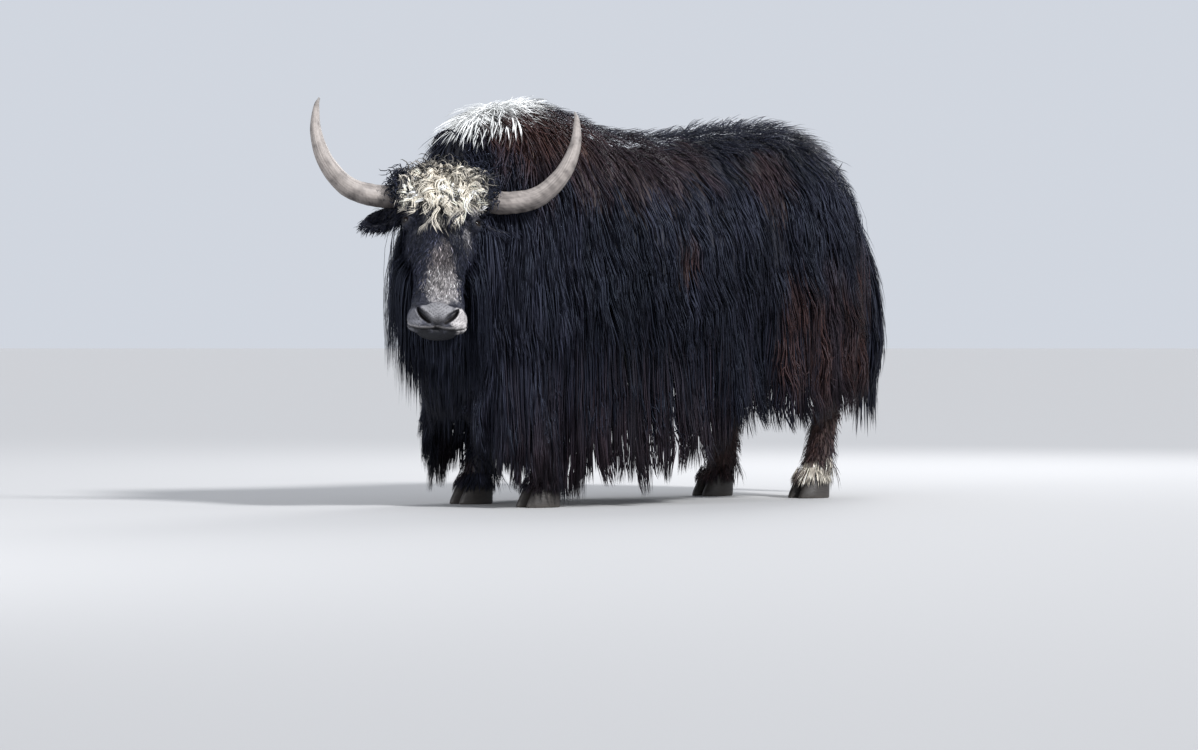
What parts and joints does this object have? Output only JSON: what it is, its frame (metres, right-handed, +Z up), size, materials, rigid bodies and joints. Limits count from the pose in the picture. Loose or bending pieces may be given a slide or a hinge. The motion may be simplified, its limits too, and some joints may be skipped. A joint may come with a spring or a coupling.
{
  "type": "yak",
  "caption": "Long-haired domestic yak bull standing on all fours, head lowered and turned to its left, with wide upswept horns and a skirt of hair near the ground.",
  "frame": {"origin": "middle of the bounding box's bottom face, on the ground under the body", "axes": "-Y the way the body faces, +X the animal's left, +Z up; the ground is z = 0"},
  "size_m": [0.8302, 2.5032, 1.4029],
  "materials": {
    "coat": "long coarse hair",
    "short_hair": "short dense hair over skin",
    "horn": "smooth, slightly ringed horn",
    "hoof": "dull horn",
    "eye": "wet and glossy"
  },
  "bodies": {
    "root": {"head": "short_hair", "horn_left": "horn", "ear_left": "coat", "eye_left": "eye", "horn_right": "horn", "ear_right": "coat", "eye_right": "eye", "neck": "coat", "forequarter_left": "coat", "skirt_fore_left": "coat", "barrel_left": "coat", "skirt_mid_left": "coat", "hindquarter_left": "coat", "skirt_hind_left": "coat", "forequarter_right": "coat", "skirt_fore_right": "coat", "barrel_right": "coat", "skirt_mid_right": "coat", "hindquarter_right": "coat", "skirt_hind_right": "coat", "leg_front_left": "short_hair", "hoof_front_left": "hoof", "leg_front_right": "short_hair", "hoof_front_right": "hoof", "leg_hind_left": "short_hair", "hoof_hind_left": "hoof", "leg_hind_right": "short_hair", "hoof_hind_right": "hoof", "tail": "coat"}
  },
  "joints": []
}
